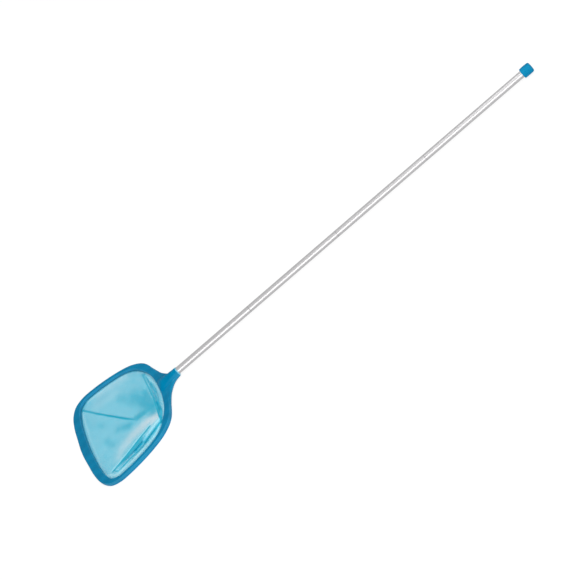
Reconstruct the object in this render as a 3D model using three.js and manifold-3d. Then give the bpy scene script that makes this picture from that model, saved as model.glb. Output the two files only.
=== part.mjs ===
// A leaf skimmer net: a moulded rim that clamps a slack net, on a four-piece push-fit pole.
// Millimetres, +Z up. The skimmer lies on its back: pole along +Y, net opening upwards.
import * as THREE from 'three';
import { mergeVertices } from 'three/addons/utils/BufferGeometryUtils.js';
import Module from 'manifold-3d';

// ---- Driving dimensions -------------------------------------------------------------------

const TOTAL_LENGTH = 1560; // front edge of the rim to the end of the cap
const FIT_GAP = 0.3; // between pieces that seat on or slide in each other

const POLE_RADIUS = 9.6;
const POLE_WALL = 1;
const POLE_SIDES = 28;
const SECTION_COUNT = 4;
const TONGUE_LENGTH = 50; // reduced end that pushes into the next section
const TONGUE_SHOULDER = 1; // cone between the full tube and its tongue
const TUBE_END_CHAMFER = 0.35;
const TUBE_MOUTH_FLARE = 0.5; // the open end's bore widens this much
const DIMPLE_SETBACK = 13; // crimp dimple, from the open end of a section
const DIMPLE_RADIUS = 3;
const DIMPLE_DEPTH = 0.55;

const CAP_RADIUS = 14;
const CAP_LENGTH = 30;
const CAP_FLOOR = 5.4;
const CAP_SHOULDER = 4.5; // rounding of the closed end
const CAP_LIP = 1; // rounding of the open end
const CAP_CROWN = 0.5; // how far the wall swells between its ends

const RIM_PARTING = 3; // underside of the moulded rim, where the clamp ring meets it
const RIM_HEIGHT = 13; // top edge of the rim above the ground
const RIM_WALL = 1.8;
const RIM_CROWN = 0.7; // how far the top of the rim bulges
const RIM_EDGE = 1.1; // rounding of the top edges
const LOOP_STEPS = 96;

// Half of each outline, from the middle of the front to the middle of the rear: [across, along].
const RIM_OUTER = [
  [0, 0], [60, 3.5], [108, 8], [149, 18], [175.5, 36], [187.5, 65], [188, 100],
  [182.5, 145], [171, 194], [155, 232], [127, 263], [86, 280], [44, 287], [0, 289],
];
const RIM_INNER = [
  [0, 25.6], [57, 27.7], [100, 31], [137, 38], [163, 49], [175.5, 69], [176.3, 99],
  [170.8, 143.5], [159, 191.5], [142, 224], [116, 244.5], [78, 263], [40, 270.5], [0, 273],
];

const RING_THICKNESS = 2.7; // clamp ring under the rim
const RING_INSET = 1.6; // its outer edge, in from the rim's
const RING_CHAMFER = 0.8;

const NET_THICKNESS = 1;
const NET_PITCH = 17.4;
const NET_STRAND = 2;
const SELVEDGE_WIDTH = 2.3; // sealed edge of the net, under the rim
const SELVEDGE_THICKNESS = 1.5;
const HEM_WIDTH = 2.6; // tape round the net, in the rim's channel
const HEM_THICKNESS = 1.5;

// Folds of the slack net: crest lines [across, along], their heights and how far each side falls.
const FOLD_PEAK = [84, 237];
const FOLD_REAR_END = [-112, 246];
const FOLD_SIDE_END = [147, 48];
const FOLD_HEIGHT = 8.5;
const FOLD_STEEP = 12;
const FOLD_GENTLE = 62;
const FOLD_EDGE_START = 9; // the folds flatten out between these distances from the rim
const FOLD_EDGE_REACH = 26;
const CREASE_START = [-156, 42];
const CREASE_END = [22, 166];
const CREASE_HEIGHT = 1.6;
const CREASE_WIDTH = 9;

const SOCKET_FLOOR = 290; // where the pole stops in the head
const SOCKET_MOUTH = 342;
const SOCKET_WALL = 1.4;
const SOCKET_END_WALL = 2;
const SOCKET_LIP = 1.1;
const SOCKET_SIDES = 40;

// The neck runs from inside the rim's rear band to the socket's mouth; shares below are along that run.
const NECK_OVERLAP = 7; // how far it starts inside the opening, before the opening is cut clear
// Half outline of its flat web: [across, share along].
const NECK_HALF = [
  [112, 0], [92, 0.158], [68, 0.283], [48, 0.388], [31.5, 0.533], [22, 0.645], [16, 0.763], [12.5, 0.895], [11, 0.974],
];
const NECK_STEPS = 18;
const NECK_WALL = 2;
const NECK_DROP = 1; // web top, below the rim's top

// The ridge that fans out from the socket over the web and the rim:
// [share along, half width beyond the socket's, middle below the pole's axis, top above the socket's].
const RIDGE = [
  [0, 19.7, 7.1, -13.6], [0.105, 18.2, 7.1, -11.3], [0.197, 15.7, 7.1, -8.2], [0.303, 12.2, 6.6, -5.3],
  [0.421, 8.7, 5.8, -3], [0.553, 5.5, 4.4, -1.5], [0.711, 2.5, 2.1, -0.6], [0.842, 0.9, 0.5, -0.1],
  [0.947, 0.1, 0, 0.1], [0.986, 0, 0, 0], [1, -0.7, 0, -0.7],
];
const RIDGE_SIDES = 32;
const RIDGE_HOLLOW_FROM = 0.36; // the ridge is hollow between these shares
const RIDGE_HOLLOW_TO = 0.9;

const PEG_RADIUS = 2;
const PEG_HEIGHT = 1.6;
const PEG_BOSS_WALL = 1.3;
const PEG_PLACES = 16;
const PEG_SIDES = 14;

const OVERLAP = 0.5; // how far one body runs into another before they are joined

// ---- Derived values -----------------------------------------------------------------------

const poleAxisHeight = CAP_RADIUS + CAP_CROWN;
const poleBore = POLE_RADIUS - POLE_WALL;
const tongueRadius = poleBore - FIT_GAP;
const poleStart = SOCKET_FLOOR + FIT_GAP;
const poleEnd = TOTAL_LENGTH - CAP_FLOOR - FIT_GAP;
const sectionPitch = (poleEnd - poleStart - TONGUE_LENGTH) / SECTION_COUNT;
const selvedgeBottom = RING_THICKNESS + FIT_GAP;
const selvedgeMiddle = selvedgeBottom + SELVEDGE_THICKNESS / 2;
const innerWallBottom = selvedgeBottom + SELVEDGE_THICKNESS + FIT_GAP;
const selvedgeInner = 0.5;
const hemInner = selvedgeInner + SELVEDGE_WIDTH + FIT_GAP;
const pegBossRadius = PEG_RADIUS + FIT_GAP + PEG_BOSS_WALL;
const rimCeiling = RIM_HEIGHT - RIM_WALL;
const socketBore = POLE_RADIUS + FIT_GAP;
const socketRadius = socketBore + SOCKET_WALL;
const neckStart = RIM_INNER.at(-1)[1] - NECK_OVERLAP;

const wasm = await Module();
wasm.setup();

const plastic = (colour, roughness) =>
  new THREE.MeshStandardMaterial({ color: colour, roughness, metalness: 0 });
const rimBlue = plastic(0x027eb4, 0.38);
const ringBlue = plastic(0x3ca5cd, 0.42);
const capBlue = plastic(0x1e96c3, 0.45);
const netBlue = plastic(0x78c3dc, 0.7);
const tapeBlue = plastic(0x1e8fb8, 0.8);
const aluminium = new THREE.MeshStandardMaterial({ color: 0xd6d9dc, roughness: 0.3, metalness: 1 });

// ---- Solid helpers ------------------------------------------------------------------------

function bare(geometry) {
  const copy = geometry.clone();
  copy.deleteAttribute('normal');
  copy.deleteAttribute('uv');
  return mergeVertices(copy, 1e-4);
}

function toSolid(geometry) {
  const merged = bare(geometry);
  return new wasm.Manifold(new wasm.Mesh({
    numProp: 3,
    vertProperties: new Float32Array(merged.attributes.position.array),
    triVerts: new Uint32Array(merged.index.array),
  }));
}

function toGeometry(solid) {
  const mesh = solid.getMesh();
  const geometry = new THREE.BufferGeometry();
  geometry.setAttribute('position', new THREE.BufferAttribute(new Float32Array(mesh.vertProperties), 3));
  geometry.setIndex(new THREE.BufferAttribute(new Uint32Array(mesh.triVerts), 1));
  geometry.computeVertexNormals();
  return geometry;
}

// A closed ring of matching closed sections, joined one to the next and the last to the first.
function loftLoop(sections) {
  const count = sections[0].length;
  const positions = sections.flat().flatMap((point) => point.toArray());
  const faces = [];
  for (let i = 0; i < sections.length; i += 1) {
    const here = i * count;
    const next = ((i + 1) % sections.length) * count;
    for (let j = 0; j < count; j += 1) {
      const k = (j + 1) % count;
      faces.push(here + j, next + j, next + k);
      faces.push(here + j, next + k, here + k);
    }
  }
  const geometry = new THREE.BufferGeometry();
  geometry.setAttribute('position', new THREE.Float32BufferAttribute(positions, 3));
  geometry.setIndex(faces);
  return geometry;
}

// A run of matching closed sections, closed by a flat face at each end.
function loftRun(sections) {
  const count = sections[0].length;
  const positions = sections.flat().flatMap((point) => point.toArray());
  const last = (sections.length - 1) * count;
  const faces = [];
  for (let i = 0; i < last; i += count) {
    for (let j = 0; j < count; j += 1) {
      const k = (j + 1) % count;
      faces.push(i + j, i + count + j, i + count + k);
      faces.push(i + j, i + count + k, i + k);
    }
  }
  for (let j = 1; j < count - 1; j += 1) {
    faces.push(0, j, j + 1, last, last + j + 1, last + j);
  }
  const geometry = new THREE.BufferGeometry();
  geometry.setAttribute('position', new THREE.Float32BufferAttribute(positions, 3));
  geometry.setIndex(faces);
  return geometry;
}

// Revolves [radius, station] points about the pole's axis, which runs along +Y.
function turned(profile, sides) {
  const points = profile.map(([radius, station]) => new THREE.Vector2(radius, station));
  const geometry = new THREE.LatheGeometry(points, sides);
  geometry.translate(0, 0, poleAxisHeight);
  return geometry;
}

function closedProfile(points) {
  return [...points, points[0]];
}

// An upright prism over a flat outline of [across, along] points.
function prism(outline, low, high) {
  const shape = new THREE.Shape(outline.map(([x, y]) => new THREE.Vector2(x, y)));
  const geometry = new THREE.ExtrudeGeometry(shape, { depth: high - low, bevelEnabled: false });
  geometry.translate(0, 0, low);
  return geometry;
}

function upright(radius, x, y, low, high) {
  const geometry = new THREE.CylinderGeometry(radius, radius, high - low, PEG_SIDES);
  geometry.rotateX(Math.PI / 2);
  geometry.translate(x, y, (low + high) / 2);
  return geometry;
}

// ---- The rim's loop -----------------------------------------------------------------------

// Mirrors a half outline into a closed loop that runs anticlockwise from above.
function loopCurve(half) {
  const right = half.map(([x, y]) => new THREE.Vector3(x, y, 0));
  const left = half.slice(1, -1).reverse().map(([x, y]) => new THREE.Vector3(-x, y, 0));
  return new THREE.CatmullRomCurve3([...right, ...left], true, 'centripetal');
}

const outerLoop = loopCurve(RIM_OUTER).getPoints(LOOP_STEPS).slice(0, -1);
const innerLoop = loopCurve(RIM_INNER).getPoints(LOOP_STEPS).slice(0, -1);

// A point of the band at loop step i, some way out from its inner edge.
function bandPoint(i, out, height) {
  const inner = innerLoop[i];
  const across = outerLoop[i].clone().sub(inner).normalize();
  return inner.clone().addScaledVector(across, out).setZ(height);
}

function bandWidth(i) {
  return outerLoop[i].distanceTo(innerLoop[i]);
}

// A flat outline some way out on the band, by each step's width.
function bandOutline(outOf) {
  return innerLoop.map((_, i) => {
    const point = bandPoint(i, outOf(bandWidth(i)), 0);
    return [point.x, point.y];
  });
}

// One section of the rim: a channel open below, with rounded, slightly crowned top.
function rimSection(i) {
  const width = bandWidth(i);
  const top = RIM_HEIGHT;
  const rounding = RIM_EDGE * (1 - Math.SQRT1_2);
  const at = (out, height) => bandPoint(i, out, height);
  return [
    at(0, innerWallBottom),
    at(RIM_WALL, innerWallBottom),
    at(RIM_WALL, rimCeiling),
    at(width - RIM_WALL, rimCeiling),
    at(width - RIM_WALL, RIM_PARTING),
    at(width, RIM_PARTING),
    at(width, top - RIM_EDGE),
    at(width - rounding, top - rounding),
    at(width - RIM_EDGE, top),
    at(width / 2, top + RIM_CROWN),
    at(RIM_EDGE, top),
    at(rounding, top - rounding),
    at(0, top - RIM_EDGE),
  ];
}

// The loop steps that carry a peg: evenly spaced, and only where the channel has room for it.
function pegSteps() {
  const spacing = LOOP_STEPS / PEG_PLACES;
  const steps = Array.from({ length: PEG_PLACES }, (_, k) => Math.round((k + 0.5) * spacing));
  return steps.filter((i) => pegOut(i) - pegBossRadius > hemInner + HEM_WIDTH + FIT_GAP);
}

// How far out on the band a peg stands, with its boss against the rim's outer wall.
function pegOut(i) {
  return bandWidth(i) - RIM_WALL - pegBossRadius + OVERLAP;
}

function pegPlace(i) {
  return bandPoint(i, pegOut(i), 0);
}

// ---- Head ---------------------------------------------------------------------------------

// The station at a share of the neck's run.
function neckStation(share) {
  return THREE.MathUtils.lerp(neckStart, SOCKET_MOUTH, share);
}

function neckOutline(inset) {
  const points = NECK_HALF.map(([x, share]) => new THREE.Vector2(x - inset, neckStation(share) - inset / 2));
  const curve = new THREE.SplineCurve(points);
  const right = curve.getPoints(NECK_STEPS).map((point) => [point.x, point.y]);
  const left = right.map(([x, y]) => [-x, y]).reverse();
  return [...right, ...left];
}

// The ridge over the socket, drawn in all round by an inset.
function ridge(inset, rows) {
  return toSolid(loftRun(rows.map(([share, beyond, below, above]) => {
    const half = socketRadius + beyond - inset;
    const middle = poleAxisHeight - below;
    const rise = poleAxisHeight + socketRadius + above - middle - inset;
    return Array.from({ length: RIDGE_SIDES }, (_, k) => {
      const turn = (2 * Math.PI * k) / RIDGE_SIDES;
      return new THREE.Vector3(half * Math.cos(turn), neckStation(share), middle + rise * Math.sin(turn));
    });
  })));
}

// The web and the ridge over it, hollow and open below.
function neck() {
  const top = RIM_HEIGHT - NECK_DROP;
  const web = toSolid(prism(neckOutline(0), RIM_PARTING, top));
  const webHollow = toSolid(prism(neckOutline(NECK_WALL), -RIM_HEIGHT, top - NECK_WALL));
  const below = toSolid(prism(neckOutline(-NECK_WALL), -RIM_HEIGHT * 2, RIM_PARTING));
  const open = RIDGE.filter(([share]) => share > RIDGE_HOLLOW_FROM && share < RIDGE_HOLLOW_TO);
  const shell = web.add(ridge(0, RIDGE));
  return shell.subtract(webHollow).subtract(ridge(NECK_WALL, open)).subtract(below);
}

// A round bar along the pole's axis, with a chamfer on its far end.
function axisBar(radius, start, end, chamfer) {
  return toSolid(turned([
    [0, start], [radius, start], [radius, end - chamfer], [radius - chamfer, end], [0, end],
  ], SOCKET_SIDES));
}

// The bore opens outwards at its mouth, so that the pole finds its way in.
function socketRoom() {
  return toSolid(turned([
    [0, SOCKET_FLOOR],
    [socketBore, SOCKET_FLOOR],
    [socketBore, SOCKET_MOUTH - SOCKET_LIP / 2],
    [socketBore + SOCKET_LIP / 2, SOCKET_MOUTH + FIT_GAP],
    [0, SOCKET_MOUTH + FIT_GAP],
  ], SOCKET_SIDES));
}

function pegBoss(i) {
  const { x, y } = pegPlace(i);
  const hole = PEG_RADIUS + FIT_GAP;
  const outside = toSolid(upright(pegBossRadius, x, y, RIM_PARTING, rimCeiling + OVERLAP));
  const inside = toSolid(upright(hole, x, y, RIM_PARTING - OVERLAP, rimCeiling));
  return outside.subtract(inside);
}

function headFrame() {
  const rim = toSolid(loftLoop(innerLoop.map((_, i) => rimSection(i))));
  const withinRim = bandOutline((width) => width - OVERLAP);
  const channel = toSolid(prism(withinRim, -OVERLAP, rimCeiling + OVERLAP));
  const opening = toSolid(prism(bandOutline(() => 0), -OVERLAP, RIM_HEIGHT * 2));
  const socket = axisBar(socketRadius, SOCKET_FLOOR - SOCKET_END_WALL, SOCKET_MOUTH, SOCKET_LIP / 2);
  let head = neck().subtract(channel).subtract(opening).add(rim).add(socket);
  for (const step of pegSteps()) {
    head = head.add(pegBoss(step));
  }
  return toGeometry(head.subtract(socketRoom()));
}

// The flat ring under the rim, which traps the net's edge and pegs into the rim.
function clampRing() {
  const sections = innerLoop.map((_, i) => {
    const width = bandWidth(i) - RING_INSET;
    return [
      bandPoint(i, RING_CHAMFER, 0),
      bandPoint(i, width - RING_CHAMFER, 0),
      bandPoint(i, width, RING_CHAMFER),
      bandPoint(i, width, RING_THICKNESS),
      bandPoint(i, 0, RING_THICKNESS),
      bandPoint(i, 0, RING_CHAMFER),
    ];
  });
  let ring = toSolid(loftLoop(sections));
  for (const step of pegSteps()) {
    const { x, y } = pegPlace(step);
    ring = ring.add(toSolid(upright(PEG_RADIUS, x, y, RING_THICKNESS - OVERLAP, RING_THICKNESS + PEG_HEIGHT)));
  }
  return toGeometry(ring);
}

// ---- Net ----------------------------------------------------------------------------------

// Height of a fold whose crest runs from a to b, at a point; each side falls off by its own reach.
function foldHeight(point, a, b, heightA, heightB, leftReach, rightReach) {
  const alongX = b[0] - a[0];
  const alongY = b[1] - a[1];
  const length = Math.hypot(alongX, alongY);
  const offX = point[0] - a[0];
  const offY = point[1] - a[1];
  const share = THREE.MathUtils.clamp((offX * alongX + offY * alongY) / length ** 2, 0, 1);
  const side = (alongX * offY - alongY * offX) / length;
  const nearest = Math.hypot(offX - share * alongX, offY - share * alongY);
  const reach = side > 0 ? leftReach : rightReach;
  const crest = heightA + (heightB - heightA) * share;
  return crest * Math.exp(-((nearest / reach) ** 2));
}

// How far a point lies inside the rim's opening; the opening has no hollow sides.
function depthInside(x, y) {
  return Math.min(...innerLoop.map((start, i) => {
    const end = innerLoop[(i + 1) % innerLoop.length];
    const along = end.clone().sub(start).normalize();
    return along.x * (y - start.y) - along.y * (x - start.x);
  }));
}

function netHeight(x, y) {
  const point = [x, y];
  const slack = THREE.MathUtils.smoothstep(depthInside(x, y), FOLD_EDGE_START, FOLD_EDGE_REACH);
  const rear = foldHeight(point, FOLD_REAR_END, FOLD_PEAK, 0, FOLD_HEIGHT, FOLD_STEEP, FOLD_GENTLE);
  const side = foldHeight(point, FOLD_PEAK, FOLD_SIDE_END, FOLD_HEIGHT, 0, FOLD_STEEP, FOLD_GENTLE);
  const crease = foldHeight(point, CREASE_START, CREASE_END, 0, CREASE_HEIGHT, CREASE_WIDTH, CREASE_WIDTH);
  return slack * (Math.max(rear, side) + crease);
}

// Grid lines on both sides of every strand, from one end of the net to past the other.
function strandLines(low, high) {
  const first = Math.floor(low / NET_PITCH);
  const last = Math.ceil(high / NET_PITCH);
  const lines = [];
  for (let k = first; k <= last; k += 1) {
    lines.push(k * NET_PITCH - NET_STRAND / 2, k * NET_PITCH + NET_STRAND / 2);
  }
  return lines;
}

// A woven grid of flat strands, folded by netHeight, larger than the opening all round.
function lattice(edge) {
  const xs = strandLines(Math.min(...edge.map(([x]) => x)), Math.max(...edge.map(([x]) => x)));
  const ys = strandLines(Math.min(...edge.map(([, y]) => y)), Math.max(...edge.map(([, y]) => y)));
  const positions = [];
  for (const y of ys) {
    for (const x of xs) {
      const middle = selvedgeMiddle + netHeight(x, y);
      positions.push(x, y, middle - NET_THICKNESS / 2, x, y, middle + NET_THICKNESS / 2);
    }
  }
  const index = (column, row, upper) => 2 * (row * xs.length + column) + upper;
  const filled = (column, row) => {
    const inside = column >= 0 && row >= 0 && column < xs.length - 1 && row < ys.length - 1;
    return inside && (column % 2 === 0 || row % 2 === 0);
  };
  const faces = [];
  const quad = (a, b, c, d) => faces.push(a, b, c, a, c, d);
  for (let row = 0; row < ys.length - 1; row += 1) {
    for (let column = 0; column < xs.length - 1; column += 1) {
      if (filled(column, row)) {
        const corner = (dx, dy, upper) => index(column + dx, row + dy, upper);
        quad(corner(0, 0, 1), corner(1, 0, 1), corner(1, 1, 1), corner(0, 1, 1));
        quad(corner(0, 0, 0), corner(0, 1, 0), corner(1, 1, 0), corner(1, 0, 0));
        if (!filled(column, row - 1)) {
          quad(corner(0, 0, 0), corner(1, 0, 0), corner(1, 0, 1), corner(0, 0, 1));
        }
        if (!filled(column, row + 1)) {
          quad(corner(1, 1, 0), corner(0, 1, 0), corner(0, 1, 1), corner(1, 1, 1));
        }
        if (!filled(column - 1, row)) {
          quad(corner(0, 1, 0), corner(0, 0, 0), corner(0, 0, 1), corner(0, 1, 1));
        }
        if (!filled(column + 1, row)) {
          quad(corner(1, 0, 0), corner(1, 1, 0), corner(1, 1, 1), corner(1, 0, 1));
        }
      }
    }
  }
  const geometry = new THREE.BufferGeometry();
  geometry.setAttribute('position', new THREE.Float32BufferAttribute(positions, 3));
  geometry.setIndex(faces);
  return geometry;
}

function bandRing(from, to, low, high) {
  return loftLoop(innerLoop.map((_, i) => [
    bandPoint(i, from, low),
    bandPoint(i, to, low),
    bandPoint(i, to, high),
    bandPoint(i, from, high),
  ]));
}

function net() {
  const edge = bandOutline(() => selvedgeInner + SELVEDGE_WIDTH / 2);
  const room = toSolid(prism(edge, 0, RIM_HEIGHT * 2));
  const woven = toSolid(lattice(edge)).intersect(room);
  const top = selvedgeBottom + SELVEDGE_THICKNESS;
  const sealed = toSolid(bandRing(selvedgeInner, selvedgeInner + SELVEDGE_WIDTH, selvedgeBottom, top));
  return toGeometry(woven.add(sealed));
}

function netHem() {
  const top = selvedgeBottom + HEM_THICKNESS;
  return bandRing(hemInner, hemInner + HEM_WIDTH, selvedgeBottom, top);
}

// ---- Pole and cap -------------------------------------------------------------------------

// A tube whose open end is at the station and whose reduced end, if it has one, is at the far end.
function poleSection(station, isLast) {
  const shoulder = station + sectionPitch;
  const end = shoulder + TONGUE_LENGTH - FIT_GAP;
  const outside = isLast
    ? [[POLE_RADIUS, end - TUBE_END_CHAMFER], [POLE_RADIUS - TUBE_END_CHAMFER, end]]
    : [
      [POLE_RADIUS, shoulder - FIT_GAP - TUBE_END_CHAMFER],
      [POLE_RADIUS - TUBE_END_CHAMFER, shoulder - FIT_GAP],
      [tongueRadius, shoulder - FIT_GAP + TONGUE_SHOULDER],
      [tongueRadius, end - TUBE_END_CHAMFER],
      [tongueRadius - TUBE_END_CHAMFER, end],
    ];
  const inside = isLast
    ? [[poleBore, end]]
    : [
      [tongueRadius - POLE_WALL, end],
      [tongueRadius - POLE_WALL, shoulder - FIT_GAP + TONGUE_SHOULDER],
      [poleBore, shoulder - FIT_GAP - POLE_WALL],
    ];
  return turned(closedProfile([
    [poleBore + TUBE_MOUTH_FLARE, station],
    [POLE_RADIUS - TUBE_END_CHAMFER, station],
    [POLE_RADIUS, station + TUBE_END_CHAMFER],
    ...outside,
    ...inside,
    [poleBore, station + TONGUE_SHOULDER],
  ]), POLE_SIDES);
}

// Presses the crimp dimple into the top of a section, over the tongue that it grips.
function dimpled(tube, station) {
  const ball = new THREE.SphereGeometry(DIMPLE_RADIUS, 16, 12);
  const height = poleAxisHeight + POLE_RADIUS + DIMPLE_RADIUS - DIMPLE_DEPTH;
  ball.translate(0, station + DIMPLE_SETBACK, height);
  return toGeometry(toSolid(tube).subtract(toSolid(ball)));
}

function endCap() {
  const start = TOTAL_LENGTH - CAP_LENGTH;
  const end = TOTAL_LENGTH;
  const bore = POLE_RADIUS + FIT_GAP;
  const floor = end - CAP_FLOOR;
  const round = CAP_SHOULDER;
  const cosine = Math.cos(Math.PI / 4);
  return turned([
    [0, floor],
    [bore, floor],
    [bore, start + CAP_LIP],
    [bore + CAP_LIP, start],
    [CAP_RADIUS - CAP_LIP, start],
    [CAP_RADIUS, start + CAP_LIP],
    [CAP_RADIUS + CAP_CROWN, (start + end) / 2],
    [CAP_RADIUS, end - round],
    [CAP_RADIUS - round + round * cosine, end - round + round * cosine],
    [CAP_RADIUS - round, end],
    [0, end],
  ], SOCKET_SIDES);
}

// ---- Assembly -----------------------------------------------------------------------------

const group = new THREE.Group();
group.position.y = -TOTAL_LENGTH / 2;

function addPiece(name, geometry, material) {
  const mesh = new THREE.Mesh(geometry, material);
  mesh.name = name;
  group.add(mesh);
}

addPiece('head_frame', headFrame(), rimBlue);
addPiece('clamp_ring', clampRing(), ringBlue);
addPiece('net', net(), netBlue);
addPiece('net_hem', netHem(), tapeBlue);
for (let k = 0; k < SECTION_COUNT; k += 1) {
  const station = poleStart + k * sectionPitch;
  const tube = poleSection(station, k === SECTION_COUNT - 1);
  addPiece(`pole_section_${k + 1}`, k === 0 ? tube : dimpled(tube, station), aluminium);
}
addPiece('end_cap', endCap(), capBlue);

export default group;
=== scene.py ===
"""A leaf skimmer net: moulded rim, slack mesh net and a push-fit aluminium pole.

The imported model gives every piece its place. This script models the visible surfaces round it, in metres,
and dresses them. The skimmer lies on its back with the pole along +Y and the net opening up.
"""

from __future__ import annotations

import logging
import math
from dataclasses import dataclass
from enum import Enum
from typing import Callable, Sequence

import bmesh
import bpy
from mathutils import Matrix, Vector
from mathutils.kdtree import KDTree

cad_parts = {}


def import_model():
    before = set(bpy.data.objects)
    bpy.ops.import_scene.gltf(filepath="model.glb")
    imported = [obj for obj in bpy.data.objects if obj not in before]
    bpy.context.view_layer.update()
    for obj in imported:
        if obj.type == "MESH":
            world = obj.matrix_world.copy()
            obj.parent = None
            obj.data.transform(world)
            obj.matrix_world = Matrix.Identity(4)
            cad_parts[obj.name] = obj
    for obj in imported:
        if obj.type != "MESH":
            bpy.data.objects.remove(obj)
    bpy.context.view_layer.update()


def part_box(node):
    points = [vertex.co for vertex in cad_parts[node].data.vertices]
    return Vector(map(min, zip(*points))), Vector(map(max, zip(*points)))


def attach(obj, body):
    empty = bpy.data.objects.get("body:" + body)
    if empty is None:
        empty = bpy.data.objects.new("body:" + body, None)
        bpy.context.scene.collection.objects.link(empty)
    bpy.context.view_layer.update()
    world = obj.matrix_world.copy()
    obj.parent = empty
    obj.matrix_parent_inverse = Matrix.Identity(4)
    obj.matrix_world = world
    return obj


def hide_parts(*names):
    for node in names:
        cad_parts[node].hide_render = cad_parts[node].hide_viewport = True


LOG = logging.getLogger("skimmer")
MM = 0.001
TOTAL_LENGTH = 1560 * MM
FRONT_EDGE = -TOTAL_LENGTH / 2
POLE_AXIS_HEIGHT = 14.5 * MM
FIT_GAP = 0.3 * MM
SECTION_COUNT = 4
MERGE_DISTANCE = 0.002 * MM
PICTURE_WIDTH = 580
SENSOR_WIDTH = 36.0

Ring = Sequence[Vector]
Spot = tuple[float, float]
Colour = tuple[float, float, float, float]


class Body(str, Enum):
    """The moving bodies that the pieces ride on."""

    HEAD = "head"
    CAP = "cap"

    @staticmethod
    def section(number: int) -> str:
        """Name of the body that carries one pole section."""
        return f"section_{number}"


class Ends(Enum):
    """How the two ends of a run of rings are closed."""

    JOINED = "joined"
    OPEN = "open"


# ---- Modelling helpers --------------------------------------------------------------------


def deselect_all() -> None:
    """Clear the selection, which loading the frame leaves full."""
    bpy.ops.object.select_all(action="DESELECT")


def make_active(piece: bpy.types.Object) -> None:
    """Select one object alone and make it the active one.

    Args:
        piece: the object to work on.
    """
    deselect_all()
    piece.select_set(True)
    bpy.context.view_layer.objects.active = piece


def apply_modifier(piece: bpy.types.Object, kind: str, **settings: object) -> None:
    """Add a modifier, set it and apply it.

    Args:
        piece: the object that gets the modifier.
        kind: Blender's name for the kind of modifier.
        settings: values for the modifier's own properties.
    """
    make_active(piece)
    modifier = piece.modifiers.new(kind.lower(), kind)
    for key, value in settings.items():
        setattr(modifier, key, value)
    bpy.ops.object.modifier_apply(modifier=modifier.name)


def extrude_loop(
    mesh: bmesh.types.BMesh, loop: list[bmesh.types.BMVert], ring: Ring
) -> list[bmesh.types.BMVert]:
    """Extrude the selected loop of edges and lay the new loop on a ring of points.

    Args:
        mesh: the mesh in edit mode. Not used.
        loop: the vertices of the selected loop, in order.
        ring: where the new vertices go, in the same order.

    Returns:
        The new vertices, in order.
    """
    bpy.ops.mesh.extrude_edges_move()
    partner = {}
    for vert in loop:
        for edge in vert.link_edges:
            other = edge.other_vert(vert)
            if other.select and not vert.select:
                partner[vert] = other
    fresh = [partner[vert] for vert in loop]
    for vert, place in zip(fresh, ring):
        vert.co = place
    return fresh


def loft(name: str, rings: Sequence[Ring], ends: Ends) -> bpy.types.Object:
    """Model a shell ring by ring: a circle laid on the first ring is extruded to each next one.

    Args:
        name: the new object's name.
        rings: rings with equal numbers of points.
        ends: JOINED runs the last ring back into the first, OPEN leaves both as they are.

    Returns:
        The new object, with doubles merged and faces pointing out.
    """
    deselect_all()
    bpy.ops.mesh.primitive_circle_add(vertices=len(rings[0]), radius=1, fill_type="NOTHING")
    piece = bpy.context.object
    piece.name = name
    bpy.ops.object.mode_set(mode="EDIT")
    bpy.ops.mesh.select_all(action="SELECT")
    mesh = bmesh.from_edit_mesh(piece.data)
    mesh.verts.ensure_lookup_table()
    loop = list(mesh.verts)
    for vert, place in zip(loop, rings[0]):
        vert.co = place
    following = [*rings[1:], rings[0]] if ends is Ends.JOINED else rings[1:]
    for ring in following:
        loop = extrude_loop(mesh, loop, ring)
    bmesh.update_edit_mesh(piece.data)
    bpy.ops.mesh.select_all(action="SELECT")
    bpy.ops.mesh.remove_doubles(threshold=MERGE_DISTANCE)
    bpy.ops.mesh.normals_make_consistent(inside=False)
    bpy.ops.object.mode_set(mode="OBJECT")
    return piece


def turned(name: str, profile: Sequence[Spot], sides: int, ends: Ends) -> bpy.types.Object:
    """Model a round piece about the pole's axis.

    Args:
        name: the new object's name.
        profile: (radius, place along Y) of each ring, in metres.
        sides: points on a ring.
        ends: how the profile's ends meet.

    Returns:
        The new object.
    """
    turn = [2 * math.pi * k / sides for k in range(sides)]
    rings = [
        [Vector((radius * math.cos(a), along, POLE_AXIS_HEIGHT + radius * math.sin(a))) for a in turn]
        for radius, along in profile
    ]
    return loft(name, rings, ends)


def smooth(piece: bpy.types.Object, angle_degrees: float = 35) -> None:
    """Shade smooth, keeping edges sharper than an angle.

    Args:
        piece: the object to shade.
        angle_degrees: edges that turn more than this stay sharp.
    """
    make_active(piece)
    bpy.ops.object.shade_smooth_by_angle(angle=math.radians(angle_degrees))


def joined(pieces: Sequence[bpy.types.Object]) -> bpy.types.Object:
    """Join objects into the first of them.

    Args:
        pieces: the objects to join.

    Returns:
        The first object, which now holds all the meshes.
    """
    make_active(pieces[0])
    for piece in pieces[1:]:
        piece.select_set(True)
    bpy.ops.object.join()
    return pieces[0]


def cut(piece: bpy.types.Object, tool: bpy.types.Object, operation: str = "DIFFERENCE") -> None:
    """Cut a piece with a tool, which is then thrown away.

    Args:
        piece: the object that is cut.
        tool: the object that cuts it.
        operation: Blender's name for the boolean.
    """
    apply_modifier(piece, "BOOLEAN", object=tool, operation=operation, solver="EXACT")
    bpy.data.objects.remove(tool, do_unlink=True)


def prism(name: str, outline: Sequence[Spot], low: float, high: float) -> bpy.types.Object:
    """Model an upright prism over a flat outline.

    Args:
        name: the new object's name.
        outline: (x, y) points, in metres.
        low: height of the base.
        high: height of the top.

    Returns:
        The new object, closed at both ends.
    """
    return closed_run(name, [[Vector((x, y, z)) for x, y in outline] for z in (low, high)])


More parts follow.
